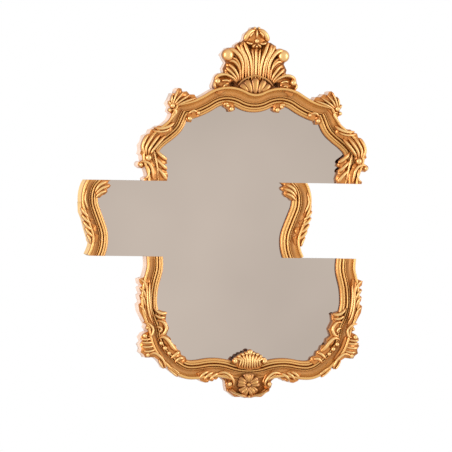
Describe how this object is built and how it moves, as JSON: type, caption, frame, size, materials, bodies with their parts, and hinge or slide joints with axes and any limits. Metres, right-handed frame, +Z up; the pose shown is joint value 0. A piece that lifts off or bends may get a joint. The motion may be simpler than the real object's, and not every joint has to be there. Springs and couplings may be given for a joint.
{
  "type": "wall mirror",
  "caption": "Carved and gilded rococo wall mirror cut into slices with the middle one shifted sideways, with crest, shell and leaf carving, on a board with ring hangers.",
  "frame": {"origin": "on the wall's face, midway between the two hangers, at the height of their pivots", "axes": "+Z up, +Y into the wall, +X to the right seen from the front"},
  "size_m": [0.9743, 0.06, 1.2],
  "materials": {
    "gilt_moulding": "carved wood, leaf-gilded, burnished, antiqued in the hollows",
    "gilt_carving": "carved wood, leaf-gilded, bright edges, dark wash in the recesses",
    "bronze_ground": "carved wood, matte bronze paint",
    "mirror_pane": "silvered float glass",
    "plywood": "birch plywood, plain",
    "foam": "black foam mounting strip",
    "zinc_screws": "zinc plated",
    "steel_strap": "zinc plated strip",
    "steel_ring": "zinc plated wire",
    "felt": "brown felt"
  },
  "bodies": {
    "mirror": {"apron": "bronze_ground", "apron_leaf": "gilt_carving", "apron_rosette": "gilt_carving", "apron_scroll_left": "gilt_carving", "apron_scroll_right": "gilt_carving", "backing_board": "plywood", "bottom_leaf_left": "gilt_carving", "bottom_leaf_right": "gilt_carving", "bottom_rail": "gilt_moulding", "bottom_shell": "gilt_carving", "crest_back": "bronze_ground", "crest_finial": "gilt_carving", "crest_inner_leaf_left": "gilt_carving", "crest_inner_leaf_right": "gilt_carving", "crest_lower_volute_left": "gilt_carving", "crest_lower_volute_right": "gilt_carving", "crest_shell": "gilt_carving", "crest_side_leaf_left": "gilt_carving", "crest_side_leaf_right": "gilt_carving", "crest_stem": "gilt_carving", "crest_volute_left": "gilt_carving", "crest_volute_right": "gilt_carving", "frame_screws": "zinc_screws", "hanger_screws": "zinc_screws", "left_hanger_plate": "steel_strap", "lower_corner_leaf_left": "gilt_carving", "lower_corner_leaf_right": "gilt_carving", "lower_inner_leaf_left": "gilt_carving", "lower_inner_leaf_right": "gilt_carving", "lower_side_leaf_left": "gilt_carving", "lower_side_leaf_right": "gilt_carving", "lower_stile_left": "gilt_moulding", "lower_stile_right": "gilt_moulding", "middle_inner_leaf_left": "gilt_carving", "middle_inner_leaf_right": "gilt_carving", "middle_outer_leaf_left": "gilt_carving", "middle_outer_leaf_right": "gilt_carving", "middle_stile_left": "gilt_moulding", "middle_stile_right": "gilt_moulding", "mirror_glass": "mirror_pane", "mounting_tape": "foam", "right_hanger_plate": "steel_strap", "shoulder_curl_left": "gilt_carving", "shoulder_curl_right": "gilt_carving", "shoulder_leaf_left": "gilt_carving", "shoulder_leaf_right": "gilt_carving", "top_curl_left": "gilt_carving", "top_curl_right": "gilt_carving", "top_rail": "gilt_moulding", "upper_acanthus_left": "gilt_carving", "upper_acanthus_right": "gilt_carving", "upper_inner_leaf_left": "gilt_carving", "upper_inner_leaf_right": "gilt_carving", "upper_scroll_left": "gilt_carving", "upper_scroll_right": "gilt_carving", "upper_stile_left": "gilt_moulding", "upper_stile_right": "gilt_moulding", "wall_bumpers": "felt"},
    "left_ring": {"left_hanger_ring": "steel_ring"},
    "right_ring": {"right_hanger_ring": "steel_ring"}
  },
  "joints": [
    {"name": "left_ring_swing", "type": "hinge", "parent": "mirror", "child": "left_ring", "pos_m": [-0.21, -0.0046, 0], "axis": [1, 0, 0], "range_deg": [0, 180]},
    {"name": "right_ring_swing", "type": "hinge", "parent": "mirror", "child": "right_ring", "pos_m": [0.21, -0.0046, 0], "axis": [1, 0, 0], "range_deg": [0, 180]}
  ]
}
